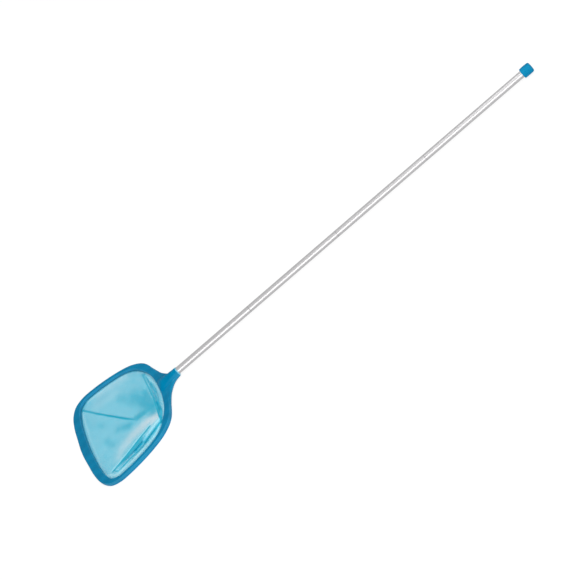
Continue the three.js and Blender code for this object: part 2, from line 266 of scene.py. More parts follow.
def closed_run(name: str, rings: Sequence[Ring]) -> bpy.types.Object:
    """Loft a run of rings and close both its ends.

    Args:
        name: the new object's name.
        rings: rings with equal numbers of points.

    Returns:
        The new object.
    """
    piece = loft(name, rings, Ends.OPEN)
    make_active(piece)
    bpy.ops.object.mode_set(mode="EDIT")
    bpy.ops.mesh.select_all(action="DESELECT")
    bpy.ops.mesh.select_non_manifold()
    bpy.ops.mesh.edge_face_add()
    bpy.ops.mesh.select_all(action="SELECT")
    bpy.ops.mesh.normals_make_consistent(inside=False)
    bpy.ops.object.mode_set(mode="OBJECT")
    return piece


def map_flat(piece: bpy.types.Object) -> None:
    """Map a cloth by its place seen from above, in metres.

    Args:
        piece: the cloth, while it is still flat.
    """
    mesh = piece.data
    flat = mesh.uv_layers.new(name="flat")
    for loop in mesh.loops:
        place = mesh.vertices[loop.vertex_index].co
        flat.data[loop.index].uv = (place.x, place.y)


def catmull_rom(points: Sequence[Spot], closed: bool, steps: int) -> list[Spot]:
    """Sample a centripetal Catmull-Rom curve at even steps of its parameter.

    Args:
        points: the points that the curve passes through.
        closed: whether the curve runs back to its first point.
        steps: how many points to return.

    Returns:
        The sampled points.
    """
    count = len(points)

    def at(index: int) -> Spot:
        if closed:
            return points[index % count]
        if index < 0:
            return tuple(2 * a - b for a, b in zip(points[0], points[1]))
        if index >= count:
            return tuple(2 * a - b for a, b in zip(points[-1], points[-2]))
        return points[index]

    def blend(share: float, x: list[float], t: list[float]) -> float:
        start = ((x[1] - x[0]) / t[0] - (x[2] - x[0]) / (t[0] + t[1]) + (x[2] - x[1]) / t[1]) * t[1]
        finish = ((x[2] - x[1]) / t[1] - (x[3] - x[1]) / (t[1] + t[2]) + (x[3] - x[2]) / t[2]) * t[1]
        square = -3 * x[1] + 3 * x[2] - 2 * start - finish
        cube = 2 * x[1] - 2 * x[2] + start + finish
        return x[1] + start * share + square * share**2 + cube * share**3

    spans = count if closed else count - 1
    sampled = []
    for k in range(steps):
        place = spans * k / (steps if closed else steps - 1)
        index = min(int(place), spans - 1)
        near = [at(index + shift) for shift in (-1, 0, 1, 2)]
        gaps = [math.dist(a, b) ** 0.5 for a, b in zip(near, near[1:])]
        sampled.append(tuple(blend(place - index, [p[axis] for p in near], gaps) for axis in (0, 1)))
    return sampled


# ---- Shader helpers -----------------------------------------------------------------------


class Shader:
    """A node tree with short ways to add and wire nodes."""

    def __init__(self, tree: bpy.types.NodeTree) -> None:
        """Keep the tree that nodes go into."""
        self.tree = tree

    def node(
        self, kind: str, inputs: dict[object, object] | None = None, **settings: object
    ) -> bpy.types.Node:
        """Add a node, set it, and wire or set its inputs.

        Args:
            kind: the node's type name.
            inputs: input name or number to a value or to a socket that feeds it.
            settings: the node's own properties.

        Returns:
            The new node.
        """
        made = self.tree.nodes.new(kind)
        for key, value in settings.items():
            setattr(made, key, value)
        for key, value in (inputs or {}).items():
            if isinstance(value, bpy.types.NodeSocket):
                self.tree.links.new(value, made.inputs[key])
            else:
                made.inputs[key].default_value = value
        return made

    def math(self, operation: str, *values: object) -> bpy.types.NodeSocket:
        """Add a math node and return its result.

        Args:
            operation: Blender's name for the sum.
            values: numbers or sockets for its inputs.

        Returns:
            The result socket.
        """
        return self.node("ShaderNodeMath", dict(enumerate(values)), operation=operation).outputs[0]

    def ramp(self, factor: bpy.types.NodeSocket, stops: Sequence[tuple[float, tuple]]) -> bpy.types.NodeSocket:
        """Add a colour ramp.

        Args:
            factor: the socket that drives it.
            stops: (place, colour) pairs, at least two.

        Returns:
            The colour socket.
        """
        made = self.node("ShaderNodeValToRGB", {0: factor})
        elements = made.color_ramp.elements
        while len(elements) < len(stops):
            elements.new(0.5)
        for element, (place, colour) in zip(elements, stops):
            element.position = place
            element.color = colour
        return made.outputs[0]

    def mix(self, factor: object, first: object, second: object) -> bpy.types.NodeSocket:
        """Mix two colours.

        Args:
            factor: share of the second colour.
            first: colour at nought.
            second: colour at one.

        Returns:
            The mixed colour's socket.
        """
        made = self.node("ShaderNodeMix", {0: factor, 6: first, 7: second}, data_type="RGBA")
        return made.outputs[2]

    def background_seen(self) -> bpy.types.NodeSocket:
        """Say where the background itself is seen: straight on, in gloss or through glass.

        Returns:
            The socket, one where it is seen.
        """
        path = self.node("ShaderNodeLightPath")
        seen = self.math("MAXIMUM", path.outputs["Is Camera Ray"], path.outputs["Is Glossy Ray"])
        return self.math("MAXIMUM", seen, path.outputs["Is Transmission Ray"])


def srgb(red: int, green: int, blue: int) -> Colour:
    """Turn an 8-bit screen colour into the linear colour that the shaders take."""

    def linear(value: int) -> float:
        share = value / 255
        return share / 12.92 if share <= 0.04045 else ((share + 0.055) / 1.055) ** 2.4

    return linear(red), linear(green), linear(blue), 1.0


def new_group(
    name: str, inputs: dict[str, tuple[str, object]], outputs: dict[str, str]
) -> tuple[Shader, object, object]:
    """Start a shader node group with named sockets.

    Args:
        name: the group's name.
        inputs: socket name to its type and default.
        outputs: socket name to its type.

    Returns:
        The group's tree, its input node and its output node.
    """
    tree = bpy.data.node_groups.new(name, "ShaderNodeTree")
    for key, (kind, default) in inputs.items():
        socket = tree.interface.new_socket(name=key, in_out="INPUT", socket_type=kind)
        if default is not None:
            socket.default_value = default
    for key, kind in outputs.items():
        tree.interface.new_socket(name=key, in_out="OUTPUT", socket_type=kind)
    shader = Shader(tree)
    return shader, shader.node("NodeGroupInput"), shader.node("NodeGroupOutput")


def new_surface(name: str) -> tuple[bpy.types.Material, Shader, bpy.types.Node]:
    """Start a material.

    Args:
        name: the material's name.

    Returns:
        The material, its tree and its Principled shader.
    """
    material = bpy.data.materials.new(name)
    material.use_nodes = True
    return material, Shader(material.node_tree), material.node_tree.nodes["Principled BSDF"]


class SurfaceEffects:
    """The effects that several finishes share, each a node group built once."""

    def __init__(self) -> None:
        """Build every group."""
        self.moulding = self._moulding()
        self.drawn_grain = self._drawn_grain()
        self.weave = self._weave()

    def _moulding(self) -> bpy.types.NodeTree:
        """Build the uneven colour, flow marks and fine skin of moulded plastic."""
        shader, given, result = new_group(
            "moulded_skin",
            {"Place": ("NodeSocketVector", None), "Tone": ("NodeSocketColor", None),
             "Shade": ("NodeSocketColor", None), "Skin Scale": ("NodeSocketFloat", 900.0)},
            {"Colour": "NodeSocketColor", "Roughness Shift": "NodeSocketFloat", "Height": "NodeSocketFloat"},
        )
        link = shader.tree.links.new
        cloud = shader.node("ShaderNodeTexNoise", {"Scale": 14.0, "Detail": 3.0, "Roughness": 0.55})
        link(given.outputs["Place"], cloud.inputs["Vector"])
        flow = shader.node("ShaderNodeTexWave", {"Scale": 9.0, "Distortion": 6.0, "Detail": 2.0})
        link(given.outputs["Place"], flow.inputs["Vector"])
        skin = shader.node("ShaderNodeTexNoise", {"Detail": 2.0})
        link(given.outputs["Place"], skin.inputs["Vector"])
        link(given.outputs["Skin Scale"], skin.inputs["Scale"])
        uneven = shader.math("ADD", shader.math("MULTIPLY", cloud.outputs[0], 0.8),
                             shader.math("MULTIPLY", flow.outputs["Fac"], 0.2))
        spread = shader.node("ShaderNodeMapRange", {"Value": uneven, "From Min": 0.35, "From Max": 0.68})
        link(shader.mix(spread.outputs[0], given.outputs["Tone"], given.outputs["Shade"]),
             result.inputs["Colour"])
        link(shader.math("MULTIPLY", shader.math("SUBTRACT", cloud.outputs[0], 0.5), 0.16),
             result.inputs["Roughness Shift"])
        link(skin.outputs[0], result.inputs["Height"])
        return shader.tree

    def _drawn_grain(self) -> bpy.types.NodeTree:
        """Build the long fine lines that drawing leaves on a tube, from its own UV map."""
        shader, given, result = new_group(
            "drawn_grain",
            {"Around": ("NodeSocketFloat", 0.0), "Along": ("NodeSocketFloat", 0.0)},
            {"Lines": "NodeSocketFloat", "Smudge": "NodeSocketFloat"},
        )
        link = shader.tree.links.new
        lines_place = shader.node("ShaderNodeCombineXYZ", {
            0: shader.math("MULTIPLY", given.outputs["Around"], 160.0),
            1: shader.math("MULTIPLY", given.outputs["Along"], 7.0)})
        lines = shader.node("ShaderNodeTexNoise", {
            "Vector": lines_place.outputs[0], "Scale": 1.0, "Detail": 3.0})
        smudge_place = shader.node("ShaderNodeCombineXYZ", {
            0: shader.math("MULTIPLY", given.outputs["Around"], 4.0),
            1: shader.math("MULTIPLY", given.outputs["Along"], 22.0)})
        smudge = shader.node("ShaderNodeTexNoise", {
            "Vector": smudge_place.outputs[0], "Scale": 1.0, "Detail": 4.0})
        link(lines.outputs[0], result.inputs["Lines"])
        link(smudge.outputs[0], result.inputs["Smudge"])
        return shader.tree

    def _weave(self) -> bpy.types.NodeTree:
        """Build a plain weave of round threads, from a flat UV map in metres."""
        shader, given, result = new_group(
            "plain_weave",
            {"Flat Place": ("NodeSocketVector", None), "Threads Per Metre": ("NodeSocketFloat", 900.0),
             "Thread Share": ("NodeSocketFloat", 0.5)},
            {"Thread": "NodeSocketFloat", "Height": "NodeSocketFloat"},
        )
        link = shader.tree.links.new
        scaled = shader.node("ShaderNodeVectorMath", operation="SCALE")
        link(given.outputs["Flat Place"], scaled.inputs[0])
        link(given.outputs["Threads Per Metre"], scaled.inputs["Scale"])
        parts = shader.node("ShaderNodeSeparateXYZ", {0: scaled.outputs[0]})
        half = shader.math("MULTIPLY", given.outputs["Thread Share"], 0.5)
        rises = []
        for axis in (0, 1):
            within = shader.math("FRACT", parts.outputs[axis])
            off = shader.math("ABSOLUTE", shader.math("SUBTRACT", within, 0.5))
            rises.append(shader.math("SUBTRACT", 1.0, shader.math("DIVIDE", off, half)))
        crown = shader.math("MAXIMUM", rises[0], rises[1])
        thread = shader.node("ShaderNodeMapRange", {"Value": crown, "From Min": -0.15, "From Max": 0.15})
        link(thread.outputs[0], result.inputs["Thread"])
        link(shader.math("MAXIMUM", crown, 0.0), result.inputs["Height"])
        return shader.tree


@dataclass(frozen=True)
class PlasticFinish:
    """A moulded plastic: its two tones, gloss and skin, and a pale colour for wear and painted highlights."""

    name: str
    tone: Colour
    shade: Colour
    roughness: float
    gloss_tint: Colour
    skin_height: float = 0.00002
    # Pale colour for worn places, for painted highlights and for painted light on edges and walls.
    wear_and_highlight: Colour = srgb(150, 222, 240)
    skin_strength: float = 0.25
    gloss: float = 0.06

    def material(self, effects: SurfaceEffects) -> bpy.types.Material:
        """Build the material.

        Args:
            effects: the shared effects.

        Returns:
            The new material.
        """
        material, shader, surface = new_surface(self.name)
        place = shader.node("ShaderNodeTexCoord").outputs["Object"]
        wear_and_highlight = shader.node("ShaderNodeAttribute", attribute_name="wear_and_highlight").outputs["Fac"]
        skin = shader.node("ShaderNodeGroup", node_tree=effects.moulding)
        for key, value in {"Tone": self.tone, "Shade": self.shade}.items():
            skin.inputs[key].default_value = value
        link = material.node_tree.links.new
        link(place, skin.inputs["Place"])
        # Mix in the pale colour where the head is marked for wear and painted highlight.
        link(shader.mix(wear_and_highlight, skin.outputs["Colour"], self.wear_and_highlight), surface.inputs["Base Color"])
        link(shader.math("ADD", skin.outputs["Roughness Shift"], self.roughness), surface.inputs["Roughness"])
        bump = shader.node("ShaderNodeBump", {"Height": skin.outputs["Height"], "Distance": self.skin_height,
                                              "Strength": self.skin_strength})
        link(bump.outputs[0], surface.inputs["Normal"])
        surface.inputs["Specular IOR Level"].default_value = self.gloss
        surface.inputs["Specular Tint"].default_value = self.gloss_tint
        return material


@dataclass(frozen=True)
class MetalFinish:
    """Drawn aluminium: its colour, gloss and the fine line at each open end."""

    name: str
    bright: Colour
    dull: Colour
    roughness: float
    seam_width: float
    seam: Colour = srgb(164, 164, 166)
    uneven_gloss: float = 0.22
    line_strength: float = 0.12
    line_height: float = 0.00004

    def material(self, effects: SurfaceEffects) -> bpy.types.Material:
        """Build the material.

        Args:
            effects: the shared effects.

        Returns:
            The new material.
        """
        material, shader, surface = new_surface(self.name)
        place = shader.node("ShaderNodeUVMap", uv_map="along").outputs[0]
        parts = shader.node("ShaderNodeSeparateXYZ", {0: place})
        grain = shader.node("ShaderNodeGroup", node_tree=effects.drawn_grain)
        link = material.node_tree.links.new
        link(parts.outputs[0], grain.inputs["Around"])
        link(parts.outputs[1], grain.inputs["Along"])
        drawn = shader.mix(grain.outputs["Lines"], self.dull, self.bright)
        past_seam = shader.node("ShaderNodeMapRange", {
            "Value": parts.outputs[1], "From Min": self.seam_width * 0.6, "From Max": self.seam_width})
        link(shader.mix(past_seam.outputs[0], self.seam, drawn), surface.inputs["Base Color"])
        surface.inputs["Metallic"].default_value = 1.0
        worn = shader.math("MULTIPLY", shader.math("SUBTRACT", grain.outputs["Smudge"], 0.5), self.uneven_gloss)
        link(shader.math("ADD", worn, self.roughness), surface.inputs["Roughness"])
        bump = shader.node("ShaderNodeBump", {
            "Height": grain.outputs["Lines"], "Strength": self.line_strength, "Distance": self.line_height})
        link(bump.outputs[0], surface.inputs["Normal"])
        return material


@dataclass(frozen=True)
class ClothFinish:
    """A woven cloth: its tones, thread count, and how much shows between the threads.
    Its tones include deeper teal, part doubled cloth and part painted shade, pale strips of painted highlight
    and a painted sheen.
    """

    name: str
    plain: Colour
    # Deeper teal: cloth doubled over in the folds, and painted shade along the creases.
    doubled_and_shade: Colour
    # Pale cyan: painted highlight on the strips beside the folds and along the inner edges.
    pale: Colour
    sheen: Colour
    threads_per_metre: float
    thread_share: float
    gap_cover: float
    thread_cover: float
    mottle: float
    pale_thinning: float = 0.25
    weave_strength: float = 0.4
    weave_height: float = 0.0002
    roughness: float = 0.6

    def material(self, effects: SurfaceEffects) -> bpy.types.Material:
        """Build the material.

        Args:
            effects: the shared effects.

        Returns:
            The new material.
        """
        material, shader, surface = new_surface(self.name)
        flat = shader.node("ShaderNodeUVMap", uv_map="flat").outputs[0]
        weave = shader.node("ShaderNodeGroup", {"Flat Place": flat}, node_tree=effects.weave)
        weave.inputs["Threads Per Metre"].default_value = self.threads_per_metre
        weave.inputs["Thread Share"].default_value = self.thread_share
        doubled_and_shade, pale, sheen = (shader.node("ShaderNodeAttribute", attribute_name=name).outputs["Fac"]
                                for name in ("doubled_and_shade", "pale", "sheen"))
        cloud = shader.node("ShaderNodeTexNoise", {"Vector": flat, "Scale": 30.0, "Detail": 5.0}).outputs[0]
        uneven = shader.math("MULTIPLY", shader.math("SUBTRACT", cloud, 0.5), self.mottle)
        # Deeper teal along the folds: part cloth doubled over, part painted shade along the creases.
        deep = shader.node("ShaderNodeClamp", {0: shader.math("ADD", doubled_and_shade, uneven)}).outputs[0]
        tone = shader.mix(sheen, self.plain, self.sheen)
        tone = shader.mix(deep, tone, self.doubled_and_shade)
        # Pale strips: a painted highlight beside the folds and along the inner edges, where the cloth is also
        # thinner.
        tone = shader.mix(pale, tone, self.pale)
        link = material.node_tree.links.new
        link(tone, surface.inputs["Base Color"])
        cover = shader.node("ShaderNodeMapRange", {"Value": weave.outputs["Thread"], "To Min": self.gap_cover,
                                                   "To Max": self.thread_cover})
        kept = shader.math("SUBTRACT", 1.0, shader.math("MULTIPLY", pale, self.pale_thinning))
        thin = shader.math("MULTIPLY", cover.outputs[0], kept)
        cover = shader.math("ADD", thin, shader.math("MULTIPLY", doubled_and_shade, shader.math("SUBTRACT", 1.0, pale)))
        link(shader.node("ShaderNodeClamp", {0: cover}).outputs[0], surface.inputs["Alpha"])
        bump = shader.node("ShaderNodeBump", {
            "Height": weave.outputs["Height"], "Strength": self.weave_strength, "Distance": self.weave_height})
        link(bump.outputs[0], surface.inputs["Normal"])
        surface.inputs["Roughness"].default_value = self.roughness
        surface.inputs["Specular Tint"].default_value = self.pale
        return material


RIM_BLUE = PlasticFinish("rim_blue", srgb(1, 130, 174), srgb(0, 118, 160), 0.4, srgb(50, 190, 240))
RING_BLUE = PlasticFinish("ring_blue", srgb(30, 146, 196), srgb(18, 132, 184), 0.42, srgb(80, 200, 240))
CAP_BLUE = PlasticFinish("cap_blue", srgb(26, 142, 186), srgb(12, 124, 168), 0.5, srgb(80, 200, 240), 0.00004)
TUBE_ALUMINIUM = MetalFinish("tube_aluminium", srgb(190, 189, 190), srgb(170, 169, 170), 0.4, 0.0006)
# Net tones: plain; deeper teal, part doubled cloth and part painted shade; pale painted highlight; painted
# sheen.
NET_MESH = ClothFinish("net_mesh", srgb(88, 198, 224), srgb(0, 166, 198), srgb(124, 234, 255),
                       srgb(214, 232, 240), 900.0, 0.62, 0.0, 1.0, 1.1)
HEM_TAPE = ClothFinish("hem_tape", srgb(30, 143, 184), srgb(20, 120, 160), srgb(60, 160, 200),
                       srgb(60, 160, 200), 1600.0, 0.8, 1.0, 1.0, 0.5)


# ---- Sub-assemblies -----------------------------------------------------------------------


@dataclass
class Band:
    """The rim's band: two matching closed outlines and the height of its top."""

    steps: int = 288
    top: float = 13 * MM
    outer_half: tuple = (
        (0, 0), (60, 3.5), (108, 8), (149, 18), (175.5, 36), (187.5, 65), (188, 100),
        (182.5, 145), (171, 194), (155, 232), (127, 263), (86, 280), (44, 287), (0, 289),
    )
    inner_half: tuple = (
        (0, 25.6), (57, 27.7), (100, 31), (137, 38), (163, 49), (175.5, 69), (176.3, 99),
        (170.8, 143.5), (159, 191.5), (142, 224), (116, 244.5), (78, 263), (40, 270.5), (0, 273),
    )

    def __post_init__(self) -> None:
        """Sample both outlines."""
        self.outer = self._loop(self.outer_half)
        self.inner = self._loop(self.inner_half)

    def _loop(self, half: Sequence[Spot]) -> list[Vector]:
        """Mirror a half outline and sample it as a closed loop, in metres."""
        mirrored = [(-x, y) for x, y in reversed(half[1:-1])]
        points = catmull_rom([*half, *mirrored], True, self.steps)
        return [Vector((x * MM, FRONT_EDGE + y * MM, 0)) for x, y in points]

    def width(self, step: int) -> float:
        """Width of the band at one step of the loop."""
        return (self.outer[step] - self.inner[step]).length

    def point(self, step: int, out: float, height: float) -> Vector:
        """A point some way out from the band's inner edge."""
        across = (self.outer[step] - self.inner[step]).normalized()
        place = self.inner[step] + across * out
        place.z = height
        return place

    def ring(self, out: Callable[[float], float], height: float) -> list[Vector]:
        """A level ring round the band.

        Args:
            out: the way out from the inner edge, from the band's width there.
            height: the ring's height.

        Returns:
            One point for each step.
        """
        return [self.point(step, out(self.width(step)), height) for step in range(self.steps)]


@dataclass
class HeadFrame:
    """The moulded rim with its neck web and pole socket."""

    band: Band
    parting: float = 3.0 * MM
    wall: float = 1.9 * MM
    crown: float = 0.3 * MM
    edge: float = 1.3 * MM
    inner_wall_bottom: float = 4.8 * MM
    socket_floor: float = 290 * MM
    socket_mouth: float = 342 * MM
    socket_radius: float = 11.3 * MM
    socket_end_wall: float = 2 * MM
    bore_radius: float = 9.9 * MM
    lip: float = 1.1 * MM
    neck_start: float = 266 * MM
    neck_half: tuple = (
        (112, 0), (92, 0.158), (68, 0.283), (48, 0.388), (31.5, 0.533), (22, 0.645), (16, 0.763),
        (12.5, 0.895), (11, 0.974),
    )
    neck_wall: float = 2 * MM
    neck_drop: float = 0.6 * MM
    ridge: tuple = (
        (0, 19.7, 7.1, -13.4), (0.105, 18.2, 7.1, -8.6), (0.197, 15.7, 7.1, -3.2), (0.303, 12.2, 6.6, 0.2),
        (0.421, 8.7, 5.8, 0.6), (0.553, 5.5, 4.4, 0.5), (0.711, 2.5, 2.1, 0.3), (0.842, 0.9, 0.5, 0.1),
        (0.947, 0.1, 0, 0.1), (0.986, 0, 0, 0), (1, -0.7, 0, -0.7),
    )
    hollow_from: float = 0.36
    hollow_to: float = 0.92
    voxel: float = 1.0 * MM
    fillet_from: float = 9.5 * MM
    # The pale band at the socket's mouth and on the rim's top edges is part wear and part painted highlight;
    # the pale on standing walls is painted light.
    pale_collar_length: float = 3.2 * MM
    mouth_wear_and_highlight: float = 0.7
    edge_wear_and_highlight: float = 0.2
    painted_wall_light: float = 0.09
    upper_smoothing: int = 70
    lower_smoothing: int = 14
    skin_smoothing: int = 8
    overlap: float = 0.5 * MM
    curve_samples: int = 41
    sides: int = 72

    def rim(self) -> bpy.types.Object:
        """Model the rim's channel, open below."""
        edge = self.edge
        arc = [(1 - math.cos(a), 1 - math.sin(a)) for a in (0.0, 0.4, 0.8, 1.2, math.pi / 2)]
        ring, top, ceiling = self.band.ring, self.band.top, self.band.top - self.wall
        rings = [
            ring(lambda w: 0, self.inner_wall_bottom),
            ring(lambda w: self.wall, self.inner_wall_bottom),
            ring(lambda w: self.wall, ceiling),
            ring(lambda w: w - self.wall, ceiling),
            ring(lambda w: w - self.wall, self.parting),
            ring(lambda w: w, self.parting),
        ]
        for out, down in arc:
            rings.append(ring(lambda w, o=out: w - edge * o, top - edge * down))
        for share in (0.25, 0.5, 0.75):
            rise = self.crown * math.sin(math.pi * share)
            rings.append(ring(lambda w, s=share: edge + (w - 2 * edge) * (1 - s), top + rise))
        for out, down in reversed(arc):
            rings.append(ring(lambda w, o=out: edge * o, top - edge * down))
        return loft("head_rim", rings, Ends.JOINED)

    def _station(self, share: float) -> float:
        """The place along, at a share of the way from the neck's start to the mouth."""
        return self.neck_start + (self.socket_mouth - self.neck_start) * share

    def _neck_outline(self, inset: float) -> list[Spot]:
        """The web's outline seen from above, drawn in by an inset."""
        half = [(x, self._station(share) / MM) for x, share in self.neck_half]
        smooth_half = catmull_rom(half, False, self.curve_samples)
        right = [(x * MM - inset, FRONT_EDGE + y * MM - inset / 2) for x, y in smooth_half]
        return right + [(-x, y) for x, y in reversed(right)]

    def _ridge_rings(self, inset: float, first: float, last: float) -> list[Ring]:
        """Elliptical rings of the ridge between two shares of the way along, drawn in by an inset."""
        samples = self.curve_samples
        along_beyond = catmull_rom([(share, beyond) for share, beyond, _, _ in self.ridge], False, samples)
        below_above = catmull_rom([(below, above) for _, _, below, above in self.ridge], False, samples)
        turns = [2 * math.pi * k / self.sides for k in range(self.sides)]
        rings = []
        for (share, beyond), (below, above) in zip(along_beyond, below_above):
            if first <= share <= last:
                along = FRONT_EDGE + self._station(share)
                middle = POLE_AXIS_HEIGHT - below * MM
                across = self.socket_radius + beyond * MM - inset
                rise = self.socket_radius + (above + below) * MM - inset
                rings.append([Vector((across * math.cos(a), along, middle + rise * math.sin(a)))
                              for a in turns])
        return rings

    def neck(self) -> bpy.types.Object:
        """Model the web and the ridge that fans out over it, hollow and open below."""
        top = self.band.top - self.neck_drop
        web = prism("neck", self._neck_outline(0), self.parting, top)
        ridge = closed_run("ridge", self._ridge_rings(0, 0, 1))
        cut(web, ridge, "UNION")
        cut(web, prism("web_hollow", self._neck_outline(self.neck_wall), -20 * MM, top - self.neck_wall))
        rings = self._ridge_rings(self.neck_wall, self.hollow_from, self.hollow_to)
        cut(web, closed_run("ridge_hollow", rings))
        cut(web, prism("below", self._neck_outline(-self.neck_wall), -30 * MM, self.parting))
        within = [self.band.point(k, self.band.width(k) - self.overlap, 0) for k in range(self.band.steps)]
        channel_top = self.band.top - self.wall + self.overlap
        cut(web, prism("channel", [(p.x, p.y) for p in within], -MM, channel_top))
        cut(web, prism("opening", [(p.x, p.y) for p in self.band.inner], -MM, 40 * MM))
        apply_modifier(web, "REMESH", mode="VOXEL", voxel_size=self.voxel)
        upper, lower = web.vertex_groups.new(name="upper"), web.vertex_groups.new(name="lower")
        for vert in web.data.vertices:
            (upper if vert.co.z > self.fillet_from else lower).add([vert.index], 1.0, "REPLACE")
        apply_modifier(web, "SMOOTH", factor=0.5, iterations=self.upper_smoothing, vertex_group="upper")
        apply_modifier(web, "SMOOTH", factor=0.5, iterations=self.lower_smoothing, vertex_group="lower")
        return web

    def socket(self) -> bpy.types.Object:
        """Model the round socket, tapered a little at its mouth."""
        start = FRONT_EDGE + self.socket_floor - self.socket_end_wall
        mouth = FRONT_EDGE + self.socket_mouth
        radius = self.socket_radius
        profile = [(0.0, start), (radius, start), (radius, mouth - self.lip), (radius - self.lip * 0.5, mouth),
                   (0.0, mouth)]
        return turned("socket", profile, self.sides, Ends.OPEN)

    def bore(self) -> bpy.types.Object:
        """Model the tool that opens the socket's bore."""
        floor, mouth = FRONT_EDGE + self.socket_floor, FRONT_EDGE + self.socket_mouth
        profile = [(0.0, floor), (self.bore_radius, floor), (self.bore_radius, mouth - self.lip / 2),
                   (self.bore_radius + self.lip / 2, mouth + MM), (0.0, mouth + MM)]
        return turned("bore", profile, self.sides, Ends.OPEN)

    def _wear_and_highlights(self, head: bpy.types.Object) -> None:
        """Mark where the skin is drawn pale: the collar, the standing walls and most of all their edges.
        The walls are painted light; the collar and the edges are part wear and part painted highlight.
        """
        wear_and_highlight = head.data.attributes.new("wear_and_highlight", "FLOAT", "POINT")
        collar = FRONT_EDGE + self.socket_mouth - self.pale_collar_length
        for vert in head.data.vertices:
            height, tilt = vert.co.z, vert.normal.z
            above_parting = min(1.0, max(0.0, height / self.parting - 1))
            # Standing walls drawn lighter than the tops: painted light.
            wall = max(0.0, 1 - abs(tilt) * 1.4) * above_parting * self.painted_wall_light
            # Top edges of the rim: part wear, part painted highlight.
            near_top = max(0.0, 1 - abs(self.band.top - self.edge * 0.4 - height) / self.edge)
            edge = max(0.0, 1 - abs(abs(tilt) - 0.7) * 3) * near_top * self.edge_wear_and_highlight
            # Collar at the socket's mouth: part wear, part painted highlight.
            mouth = min(1.0, max(0.0, (vert.co.y - collar) / MM)) * self.mouth_wear_and_highlight
            wear_and_highlight.data[vert.index].value = max(wall, edge, mouth)

    def build(self, finish: bpy.types.Material) -> bpy.types.Object:
        """Model, blend and dress the head.

        Args:
            finish: the plastic.

        Returns:
            The finished piece.
        """
        head = joined([self.rim(), self.neck(), self.socket()])
        apply_modifier(head, "REMESH", mode="VOXEL", voxel_size=self.voxel)
        apply_modifier(head, "SMOOTH", factor=0.5, iterations=self.skin_smoothing)
        cut(head, self.bore())
        self._wear_and_highlights(head)
        head.name = "head_moulding"
        smooth(head, 45)
        head.data.materials.append(finish)
        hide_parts("head_frame")
        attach(head, Body.HEAD.value)
        return head


@dataclass
class ClampRing:
    """The flat ring under the rim."""

    band: Band
    thickness: float = 2.7 * MM
    inset: float = 1.6 * MM
    chamfer: float = 0.8 * MM

    def build(self, finish: bpy.types.Material) -> bpy.types.Object:
        """Model and dress the ring.

        Args:
            finish: the plastic.

        Returns:
            The finished piece.
        """
        ring = self.band.ring
        corner = self.chamfer
        rings = [
            ring(lambda w: corner, 0),
            ring(lambda w: w - self.inset - corner, 0),
            ring(lambda w: w - self.inset - corner * 0.3, corner * 0.3),
            ring(lambda w: w - self.inset, corner),
            ring(lambda w: w - self.inset, self.thickness),
            ring(lambda w: 0, self.thickness),
            ring(lambda w: 0, corner),
            ring(lambda w: corner * 0.3, corner * 0.3),
        ]
        piece = loft("clamp_ring_moulding", rings, Ends.JOINED)
        smooth(piece)
        piece.data.materials.append(finish)
        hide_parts("clamp_ring")
        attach(piece, Body.HEAD.value)
        return piece


@dataclass
class Streak:
    """A soft line over the net: where it runs, its strength at each end and its reach on each side."""

    start: Spot
    end: Spot
    first: float
    last: float
    left_reach: float
    right_reach: float

    def value(self, x: float, y: float) -> float:
        """Strength of the line at a point, all in millimetres."""
        run_x, run_y = self.end[0] - self.start[0], self.end[1] - self.start[1]
        off_x, off_y = x - self.start[0], y - self.start[1]
        length = math.hypot(run_x, run_y)
        share = min(1.0, max(0.0, (off_x * run_x + off_y * run_y) / length**2))
        side = (run_x * off_y - run_y * off_x) / length
        nearest = math.hypot(off_x - share * run_x, off_y - share * run_y)
        reach = self.left_reach if side > 0 else self.right_reach
        return (self.first + (self.last - self.first) * share) * math.exp(-((nearest / reach) ** 2))


def streaks(*rows: tuple[float, ...]) -> list[Streak]:
    """Make soft lines from rows of numbers.

    Args:
        rows: start, end, strength at each end and reach on each side, eight numbers in a row.

    Returns:
        One line for each row.
    """
    return [Streak(row[:2], row[2:4], *row[4:]) for row in rows]


@dataclass
class Pleat:
    """A fold where the cloth turns back over itself, on the left of its line."""

    start: Spot
    end: Spot
    start_width: float
    end_width: float
    overhang: float
    lift: float

    def shift(self, x: float, y: float) -> tuple[float, float, float]:
        """How far the pleat moves a point across, along and up, all in millimetres."""
        run_x, run_y = self.end[0] - self.start[0], self.end[1] - self.start[1]
        length = math.hypot(run_x, run_y)
        off_x, off_y = x - self.start[0], y - self.start[1]
        share = (off_x * run_x + off_y * run_y) / length**2
        width = self.start_width + (self.end_width - self.start_width) * min(1.0, max(0.0, share))
        out = (run_x * off_y - run_y * off_x) / length / width
        if not (0 < share < 1 and 0 < out < 1):
            return 0.0, 0.0, 0.0
        strength = math.sin(math.pi * share) ** 0.5
        sway = self.overhang * width * strength * math.sin(2 * math.pi * out)
        rise = self.lift * strength * math.sin(math.pi * out) * (1 - out)
        return -run_y / length * sway, run_x / length * sway, rise


